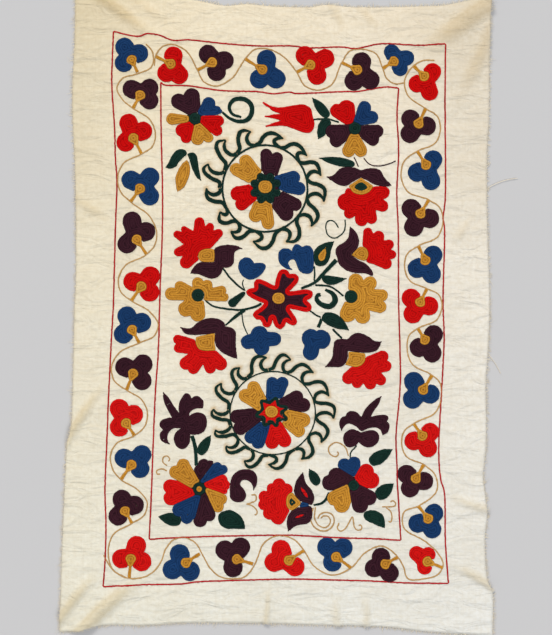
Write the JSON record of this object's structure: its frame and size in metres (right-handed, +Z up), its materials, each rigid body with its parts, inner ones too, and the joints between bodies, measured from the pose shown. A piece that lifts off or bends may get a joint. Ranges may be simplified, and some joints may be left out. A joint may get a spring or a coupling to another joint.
{
  "type": "suzani embroidered cloth",
  "caption": "Flat rectangular embroidered cotton cloth with raw edges: a wavy vine border of three-petalled flowers around a field of flowers, leaves and hooked rings.",
  "frame": {"origin": "middle of the cloth's underside, on the surface that it lies on", "axes": "+Z up out of the embroidered face, +Y along the cloth's length towards its narrower end, +X across it to the right"},
  "size_m": [0.5497, 0.7728, 0.0074],
  "materials": {
    "ground_cotton": "matt undyed plain-weave cotton",
    "loose_cotton": "matt undyed cotton thread",
    "red_thread": "soft sheen red stitching",
    "crimson_thread": "soft sheen crimson stitching",
    "blue_thread": "soft sheen navy stitching",
    "plum_thread": "soft sheen dark plum stitching",
    "green_thread": "soft sheen dark green stitching",
    "ochre_thread": "soft sheen ochre stitching",
    "brown_thread": "soft sheen light brown stitching"
  },
  "bodies": {
    "root": {"ground_cloth": "ground_cotton", "loose_thread_upper": "loose_cotton", "loose_thread_lower": "loose_cotton"}
  },
  "joints": []
}
